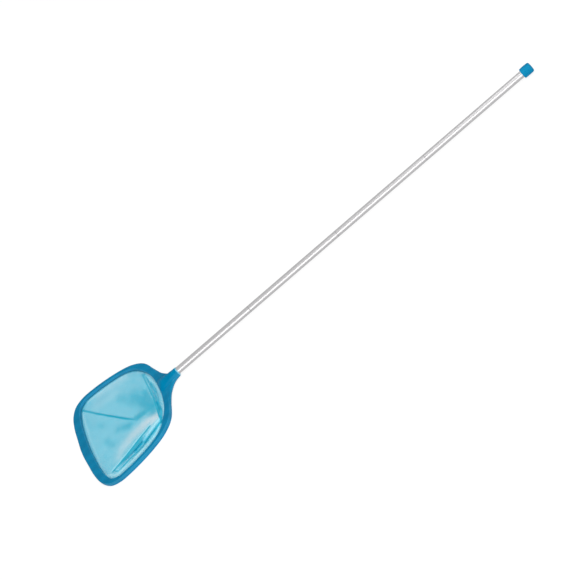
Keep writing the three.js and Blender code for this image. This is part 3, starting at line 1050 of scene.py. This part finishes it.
@dataclass
class NetCloth:
    """The slack net with its folds, trapped under the rim.

    The marks that tint the folds are places read in one view. sight is how far a mark moves across and along
    for each millimetre that the cloth rises, so that it falls where that view shows it. cut_size and cut_area
    are measured on the draped cloth, with its folds followed, because the real cut isn't known. cut_size is not
    used.
    """

    band: Band
    rings: int = 150
    edge_out: float = 1.6 * MM
    edge_height: float = 3.75 * MM
    middle: Spot = (0.0, 150.0)
    peak: Spot = (102, 241)
    rear_end: Spot = (-108, 247)
    side_end: Spot = (139, 58)
    crest_height: float = 8.5
    cut_size: Spot = (0.369, 0.263)
    cut_area: float = 0.0799
    swell_share: float = 0.6
    wave_height: float = 0.45
    wrinkle_height: float = 0.2
    lowest: float = -2.4
    slack_gain: float = 9
    sight: Spot = (-1.34, -0.38)

    def __post_init__(self) -> None:
        """Lay out the folds, and the marks that tint them where the photograph shows them."""
        peak, top = self.peak, self.crest_height
        self.crests = [
            Streak(self.rear_end, peak, 0, top, 13, 62),
            Streak(self.side_end, peak, 0, top, 62, 13),
        ]
        self.pleats = [
            Pleat(self.rear_end, (100, 243), 11, 6, 0.42, 2.2),
            Pleat((-60, 260), (100, 250), 7, 5, 0.4, 1.6),
            Pleat(self.side_end, (102, 236), -16, -8, 0.44, 2.6),
            Pleat((154, 80), (114, 236), -12, -6, 0.42, 2.0),
            Pleat((162, 120), (124, 230), -7, -4, 0.36, 1.2),
        ]
        self.crease = streaks(
            (-156, 46, -60, 110, 0.3, 1.6, 3, 6), (-60, 110, 0, 152, 1.6, 1.9, 3, 6),
            (0, 152, 35, 178, 1.9, 0.6, 4, 7),
        )
        self.swells = [
            Streak((35, 175), peak, 0.5, 3.5, 26, 12),
            Streak((60, 60), (104, 190), 0.5, 2.0, 16, 14),
            Streak((-100, 190), (30, 225), 0.8, 1.2, 20, 16),
            Streak((-120, 100), (-30, 70), 0.9, 0.3, 16, 16),
        ]
        # Deeper teal and fuller cover: doubled cloth in the pleats, and painted shade along the crease and on
        # the folds' shaded sides.
        self.doubled_and_shade = streaks(
            (-155, 48, -100, 83, 1.0, 1.2, 2.6, 2.6), (-100, 83, -20, 138, 1.2, 1.3, 2.6, 2.6),
            (-20, 138, 0, 152, 1.3, 1.3, 2.8, 2.8), (0, 152, 34, 178, 1.2, 0.5, 3.0, 3.0),
            (-60, 195, 30, 232, 0.45, 0.75, 20, 26), (-40, 230, 45, 235, 0.5, 0.7, 10, 22),
            (28, 178, 36, 234, 0.65, 0.8, 16, 8), (-90, 158, -20, 200, 0.3, 0.45, 14, 14),
            (12, 118, 30, 152, 0.4, 0.5, 14, 12), (15, 75, 50, 86, 0.35, 0.3, 9, 9),
            (-60, 72, -45, 80, 0.25, 0.25, 8, 8), (-104, 243, 5, 244, 0.9, 1.2, 1.6, 1.8),
            (5, 244, 45, 241, 1.1, 1.2, 2.5, 2.5), (45, 241, 100, 236, 1.3, 1.3, 4, 2.5),
            (30, 248, 72, 248, 1.1, 1.5, 5, 6.5), (72, 248, 96, 240, 1.5, 1.2, 4.5, 4),
            (-50, 254, -6, 256, 0.9, 0.8, 3.5, 3.5), (-8, 253, 35, 252, 0.5, 0.8, 3, 4),
            (-98, 248, -60, 251, 0.8, 0.6, 3, 3), (134, 58, 118, 112, 1.0, 1.2, 2.5, 4),
            (118, 112, 101, 160, 1.3, 1.4, 2.5, 6), (101, 160, 89, 200, 1.5, 1.3, 2.2, 4),
            (122, 120, 112, 165, 1.3, 1.1, 10, 9), (128, 140, 118, 175, 1.2, 0.9, 8, 8),
            (130, 80, 124, 125, 0.9, 1.2, 4, 6), (128, 172, 118, 200, 1.0, 1.1, 5, 6),
            (118, 200, 106, 238, 1.2, 1.4, 5, 7), (150, 74, 141, 110, 0.75, 0.9, 2.5, 3),
            (141, 110, 138, 160, 0.9, 0.95, 2.5, 3), (138, 160, 133, 182, 0.9, 0.5, 2.5, 3),
            (136, 62, 150, 72, 0.8, 0.6, 2.5, 2.5), (133, 190, 124, 214, 0.45, 0.3, 2.5, 3),
        )
        # Pale strips: painted highlight beside the folds and along the inner edges; the cloth is thinned there
        # too.
        self.pale = streaks(
            (117, 172, 104, 200, 0.9, 1.0, 5, 5), (104, 200, 93, 230, 1.0, 0.9, 5.5, 6),
            (122, 118, 112, 166, 0.15, 0.2, 7, 7), (70, 248, 90, 244, 0.2, 0.2, 4, 4),
            (131, 56, 115, 112, 0.8, 0.8, 3.5, 1.5), (115, 112, 98, 160, 0.8, 0.9, 3.5, 1.5),
            (98, 160, 84, 205, 0.8, 0.9, 3, 1.5), (156, 66, 153, 120, 0.9, 1.0, 5, 5),
            (153, 120, 146, 165, 1.0, 0.95, 5, 5), (146, 165, 132, 208, 0.9, 0.9, 4.5, 4.5),
            (132, 208, 114, 230, 0.9, 0.8, 3.5, 3.5), (140, 68, 136, 105, 0.5, 0.4, 3, 3),
            (-92, 250, -40, 263, 0.45, 0.45, 3.5, 3), (-40, 264, 10, 266, 0.4, 0.4, 2.5, 2),
            (10, 266, 60, 260, 0.4, 0.5, 2, 2.5), (60, 261, 92, 250, 0.9, 0.8, 2.5, 1.8),
            (-172, 70, -165, 160, 0.7, 0.6, 4, 4), (-165, 160, -150, 205, 0.6, 0.4, 4, 4),
            (-150, 44, -60, 36, 0.4, 0.35, 2.5, 2.5), (-60, 36, 90, 33, 0.3, 0.3, 2.5, 2.5),
            (134, 42, 154, 60, 0.6, 0.8, 3.5, 3.5),
        )
        self.sheen = streaks(
            (78, 238, 68, 200, 0.95, 0.85, 14, 14), (68, 200, 72, 150, 0.8, 0.6, 16, 16),
            (72, 150, 88, 105, 0.6, 0.4, 16, 18), (88, 105, 105, 88, 0.4, 0.3, 12, 14),
            (84, 232, 84, 205, 0.8, 0.7, 6, 5), (-150, 190, -160, 110, 0.25, 0.25, 18, 18),
            (-120, 150, -130, 90, 0.15, 0.15, 20, 20),
        )

    def height(self, x: float, y: float) -> float:
        """Height of the cloth over its edge, from a place in millimetres."""
        crest = max(fold.value(x, y) for fold in self.crests)
        crease = max(fold.value(x, y) for fold in self.crease)
        swell = max(fold.value(x, y) for fold in self.swells)
        waves = self.wave_height * math.sin(x / 23 + y / 41) * math.sin(y / 29 - x / 57)
        ripple = math.sin((x + 0.6 * y) / 7.5 + 2.1 * math.sin(y / 31))
        wrinkles = self.wrinkle_height * ripple * math.sin((y - 0.4 * x) / 17)
        return crest + crease + swell * self.swell_share + waves + wrinkles

    def drape(self, x: float, y: float, slack: float) -> Vector:
        """Where a flat point of the cloth lies once the net hangs in its folds.

        Args:
            x: place across, in millimetres.
            y: place along, in millimetres.
            slack: 0 where the rim holds the cloth, up to 1 where it is free.

        Returns:
            The draped point, in metres.
        """
        across = along = rise = 0.0
        for pleat in self.pleats:
            shift = pleat.shift(x, y)
            across, along, rise = across + shift[0], along + shift[1], rise + shift[2]
        lifted = max(self.lowest, (self.height(x, y) + rise) * slack)
        return Vector(((x + across * slack) * MM, FRONT_EDGE + (y + along * slack) * MM,
                       self.edge_height + lifted * MM))

    def build(self, finish: bpy.types.Material) -> bpy.types.Object:
        """Model and dress the net.

        Args:
            finish: the cloth.

        Returns:
            The finished piece.
        """
        centre = Vector((self.middle[0], self.middle[1], 0))
        held = self.band.ring(lambda w: self.edge_out, 0)
        edge = [Vector((p.x / MM, (p.y - FRONT_EDGE) / MM, 0)) for p in held]
        loops, flats = [], []
        for k in range(self.rings + 1):
            share = 1 - k / self.rings
            slack = min(1.0, (1 - share) * self.slack_gain)
            slack = slack * slack * (3 - 2 * slack)
            spots = [centre + (place - centre) * share for place in edge]
            loops.append([self.drape(spot.x, spot.y, slack) for spot in spots])
            flats.extend(spots)
        piece = self._woven(loops, flats)
        make_active(piece)
        bpy.ops.object.shade_smooth()
        piece.data.materials.append(finish)
        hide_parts("net")
        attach(piece, Body.HEAD.value)
        draped = sum(face.area for face in piece.data.polygons)
        LOG.info("net: %.4f square metres draped, cut from %.4f", draped, self.cut_area)
        return piece

    def _woven(self, loops: Sequence[Ring], flats: Sequence[Vector]) -> bpy.types.Object:
        """Loft the cloth, with its flat map and the masks that tint its folds.

        Args:
            loops: rings of draped points, from the edge to the middle.
            flats: the flat place of each of those points, in millimetres.

        Returns:
            The new object.
        """
        piece = loft("net_cloth", [[Vector((p.x, p.y, 0)) * MM for p in flats[i:i + len(loops[0])]]
                                   for i in range(0, len(flats), len(loops[0]))], Ends.OPEN)
        map_flat(piece)
        mesh = piece.data
        tree = KDTree(len(flats))
        for index, place in enumerate(flats):
            tree.insert(place * MM, index)
        tree.balance()
        spots = [spot for loop in loops for spot in loop]
        for vert in mesh.vertices:
            vert.co = spots[tree.find(vert.co)[1]]
        # Masks for the marks: deeper teal with painted shade, pale painted highlight and painted sheen.
        for name, marks in {"doubled_and_shade": self.doubled_and_shade, "pale": self.pale, "sheen": self.sheen}.items():
            mask = mesh.attributes.new(name, "FLOAT", "POINT")
            for vert in mesh.vertices:
                rise = (vert.co.z - self.edge_height) / MM
                x = vert.co.x / MM + self.sight[0] * rise
                y = (vert.co.y - FRONT_EDGE) / MM + self.sight[1] * rise
                mask.data[vert.index].value = min(1.0, max(mark.value(x, y) for mark in marks))
        return piece


@dataclass
class HemTape:
    """The tape round the net's edge, inside the rim's channel."""

    band: Band
    inner: float = 3.1 * MM
    width: float = 2.6 * MM
    low: float = 3.0 * MM
    thickness: float = 1.5 * MM

    def build(self, finish: bpy.types.Material) -> bpy.types.Object:
        """Model and dress the tape.

        Args:
            finish: the cloth.

        Returns:
            The finished piece.
        """
        ring = self.band.ring
        soft = 0.3 * MM
        near, far, low, high = self.inner, self.inner + self.width, self.low, self.low + self.thickness
        corners = [
            (near + soft, low), (far - soft, low), (far, low + soft), (far, high - soft),
            (far - soft, high), (near + soft, high), (near, high - soft), (near, low + soft),
        ]
        rings = [ring(lambda w, o=out: o, height) for out, height in corners]
        piece = loft("hem_tape", rings, Ends.JOINED)
        map_flat(piece)
        smooth(piece, 60)
        piece.data.materials.append(finish)
        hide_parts("net_hem")
        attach(piece, Body.HEAD.value)
        return piece


@dataclass
class PoleSection:
    """One aluminium tube, with a reduced tongue unless it is the last."""

    number: int
    radius: float = 9.6 * MM
    wall: float = 1.0 * MM
    tongue_length: float = 50 * MM
    shoulder: float = 1 * MM
    chamfer: float = 0.35 * MM
    mouth_flare: float = 0.5 * MM
    dimple_setback: float = 13 * MM
    dimple_radius: float = 2.2 * MM
    dimple_depth: float = 0.55 * MM
    dimple_step: float = 0.6 * MM
    sides: int = 96

    def build(self, finish: bpy.types.Material) -> bpy.types.Object:
        """Model and dress the tube.

        Args:
            finish: the metal.

        Returns:
            The finished piece.
        """
        node = f"pole_section_{self.number}"
        low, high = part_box(node)
        start, end = low[1], high[1]
        bore = self.radius - self.wall
        tongue = bore - FIT_GAP
        is_last = self.number == SECTION_COUNT
        seam = end - self.tongue_length + FIT_GAP
        around = [start + self.dimple_setback + k * self.dimple_step for k in range(-6, 7)]
        profile = [(bore, start + self.shoulder), (bore + self.mouth_flare, start),
                   (self.radius - self.chamfer, start), (self.radius, start + self.chamfer)]
        profile += [(self.radius, place) for place in around]
        if is_last:
            profile += [(self.radius, end - self.chamfer), (self.radius - self.chamfer, end), (bore, end)]
        else:
            edge = seam - FIT_GAP
            profile += [(self.radius, edge - self.chamfer), (self.radius - self.chamfer, edge),
                        (tongue, edge + self.shoulder), (tongue, end - self.chamfer),
                        (tongue - self.chamfer, end),
                        (tongue - self.wall, end), (tongue - self.wall, edge + self.shoulder),
                        (bore, edge - self.wall)]
        piece = turned(f"tube_{self.number}", profile, self.sides, Ends.JOINED)
        if self.number > 1:
            self._press_dimple(piece, start + self.dimple_setback)
        self._map(piece, start)
        smooth(piece, 30)
        piece.data.materials.append(finish)
        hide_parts(node)
        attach(piece, Body.section(self.number))
        return piece

    def _press_dimple(self, piece: bpy.types.Object, along: float) -> None:
        """Press the crimp into the top of the tube."""
        spot = Vector((0, along, POLE_AXIS_HEIGHT + self.radius))
        for vert in piece.data.vertices:
            away = (vert.co - spot).length / self.dimple_radius
            if away < 2:
                vert.co.z -= self.dimple_depth * math.exp(-(away**2) * 1.6)

    def _map(self, piece: bpy.types.Object, start: float) -> None:
        """Map the tube by its turn and by the way from its open end."""
        mesh = piece.data
        layer = mesh.uv_layers.new(name="along")
        for face in mesh.polygons:
            turns = []
            for index in face.vertices:
                place = mesh.vertices[index].co
                turns.append(math.atan2(place.z - POLE_AXIS_HEIGHT, place.x) / (2 * math.pi) % 1.0)
            wraps = max(turns) - min(turns) > 0.5
            for loop_index, turn in zip(face.loop_indices, turns):
                place = mesh.vertices[mesh.loops[loop_index].vertex_index].co
                layer.data[loop_index].uv = (turn + 1 if wraps and turn < 0.5 else turn, place.y - start)


@dataclass
class EndCap:
    """The moulded cap on the far end of the pole."""

    radius: float = 14 * MM
    crown: float = 0.5 * MM
    length: float = 30 * MM
    floor: float = 5.4 * MM
    shoulder: float = 4.5 * MM
    lip: float = 1.0 * MM
    bore: float = 9.9 * MM
    sides: int = 96

    def build(self, finish: bpy.types.Material) -> bpy.types.Object:
        """Model and dress the cap.

        Args:
            finish: the plastic.

        Returns:
            The finished piece.
        """
        end = -FRONT_EDGE
        start = end - self.length
        profile = [(0.0, end - self.floor), (self.bore, end - self.floor), (self.bore, start + self.lip),
                   (self.bore + self.lip, start), (self.radius - self.lip, start)]
        profile += [(self.radius - self.lip * (1 - math.sin(a)), start + self.lip * (1 - math.cos(a)))
                    for a in (0.5, 1.0, math.pi / 2)]
        straight = self.length - self.lip - self.shoulder
        for share in (0.2, 0.35, 0.5, 0.65, 0.8):
            swell = self.crown * math.sin(math.pi * share)
            profile.append((self.radius + swell, start + self.lip + straight * share))
        for a in (0.0, 0.3, 0.6, 0.9, 1.2, math.pi / 2):
            profile.append((self.radius - self.shoulder * (1 - math.cos(a)),
                            end - self.shoulder * (1 - math.sin(a))))
        profile.append((0.0, end))
        piece = turned("cap_moulding", profile, self.sides, Ends.OPEN)
        smooth(piece, 40)
        piece.data.materials.append(finish)
        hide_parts("end_cap")
        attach(piece, Body.CAP.value)
        return piece


@dataclass
class Studio:
    """The floor, the lights and the camera."""

    camera_place: tuple[float, float, float] = (7.379, 1.4751, 5.5068)
    camera_right: tuple[float, float, float] = (0.29043, 0.74764, -0.59723)
    camera_up: tuple[float, float, float] = (-0.54139, 0.64302, 0.54169)
    focal_pixels: float = 3588.7
    floor_size: float = 60.0
    floor_drop: float = 0.0005
    shadow_grey: float = 0.24
    floor_white: float = 0.84
    sky_strength: float = 0.58

    def add_camera(self) -> None:
        """Stand the camera where the photograph was taken."""
        data = bpy.data.cameras.new("camera")
        data.sensor_width = SENSOR_WIDTH
        data.lens = self.focal_pixels / PICTURE_WIDTH * SENSOR_WIDTH
        camera = bpy.data.objects.new("camera", data)
        bpy.context.scene.collection.objects.link(camera)
        camera.location = self.camera_place
        right, up = Vector(self.camera_right).normalized(), Vector(self.camera_up).normalized()
        camera.rotation_euler = Matrix((right, up, right.cross(up))).transposed().to_euler()
        bpy.context.scene.camera = camera

    def add_floor(self) -> None:
        """Lay the pale floor, which the camera sees as white with a faint shadow."""
        deselect_all()
        bpy.ops.mesh.primitive_plane_add(size=self.floor_size, location=(0, 0, -self.floor_drop))
        floor = bpy.context.object
        floor.name = "floor"
        material = bpy.data.materials.new("floor")
        material.use_nodes = True
        shader = Shader(material.node_tree)
        material.node_tree.nodes.clear()
        seen = shader.background_seen()
        pale = shader.node("ShaderNodeBsdfDiffuse", {"Color": srgb(228, 228, 228)})
        catching = shader.node("ShaderNodeBsdfDiffuse", {"Color": (*[self.shadow_grey] * 3, 1)})
        white = shader.node("ShaderNodeEmission", {"Color": (1, 1, 1, 1), "Strength": self.floor_white})
        shown = shader.node("ShaderNodeAddShader", {0: catching.outputs[0], 1: white.outputs[0]})
        both = shader.node("ShaderNodeMixShader", {0: seen, 1: pale.outputs[0], 2: shown.outputs[0]})
        shader.node("ShaderNodeOutputMaterial", {"Surface": both.outputs[0]})
        floor.data.materials.append(material)

    def add_world(self) -> None:
        """Light the scene evenly and show white behind it."""
        world = bpy.data.worlds.new("studio")
        bpy.context.scene.world = world
        world.use_nodes = True
        world.node_tree.nodes.clear()
        shader = Shader(world.node_tree)
        seen = shader.background_seen()
        up = shader.node("ShaderNodeSeparateXYZ", {0: shader.node("ShaderNodeTexCoord").outputs["Generated"]})
        sky = shader.ramp(shader.math("ABSOLUTE", up.outputs[2]),
                          [(0.0, (0.5, 0.5, 0.52, 1)), (0.55, (0.95, 0.95, 0.95, 1))])
        soft = shader.node("ShaderNodeBackground", {"Color": sky, "Strength": self.sky_strength})
        white = shader.node("ShaderNodeBackground", {"Color": (1, 1, 1, 1), "Strength": 1.0})
        both = shader.node("ShaderNodeMixShader", {0: seen, 1: soft.outputs[0], 2: white.outputs[0]})
        shader.node("ShaderNodeOutputWorld", {"Surface": both.outputs[0]})

    def add_lamp(self, name: str, place: tuple[float, float, float], size: Spot, watts: float) -> None:
        """Hang a soft lamp that faces the middle of the skimmer.

        Args:
            name: the lamp's name.
            place: where it hangs.
            size: its length along the pole and its height.
            watts: its power.
        """
        data = bpy.data.lights.new(name, "AREA")
        data.shape = "RECTANGLE"
        data.size, data.size_y = size
        data.energy = watts
        lamp = bpy.data.objects.new(name, data)
        bpy.context.scene.collection.objects.link(lamp)
        lamp.location = place
        lamp.rotation_euler = (-Vector(place)).to_track_quat("-Z", "Y").to_euler()

    def build(self) -> None:
        """Set up the whole studio."""
        bpy.context.scene.view_settings.view_transform = "Standard"
        self.add_camera()
        self.add_floor()
        self.add_world()
        self.add_lamp("side_lamp", (5.0, -0.2, 1.9), (7.0, 2.0), 180)
        self.add_lamp("top_lamp", (0.4, 1.4, 3.4), (2.4, 2.4), 44)


def main() -> None:
    """Load the frame, build each sub-assembly and dress it."""
    logging.basicConfig(level=logging.INFO, format="%(message)s")
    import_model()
    Studio().build()
    effects = SurfaceEffects()
    band = Band()
    metal = TUBE_ALUMINIUM.material(effects)
    pieces = [
        HeadFrame(band).build(RIM_BLUE.material(effects)),
        ClampRing(band).build(RING_BLUE.material(effects)),
        NetCloth(band).build(NET_MESH.material(effects)),
        HemTape(band).build(HEM_TAPE.material(effects)),
        *[PoleSection(number).build(metal) for number in range(1, SECTION_COUNT + 1)],
        EndCap().build(CAP_BLUE.material(effects)),
    ]
    for piece in pieces:
        LOG.info("%s: %d faces", piece.name, len(piece.data.polygons))


if __name__ == "__main__":
    main()
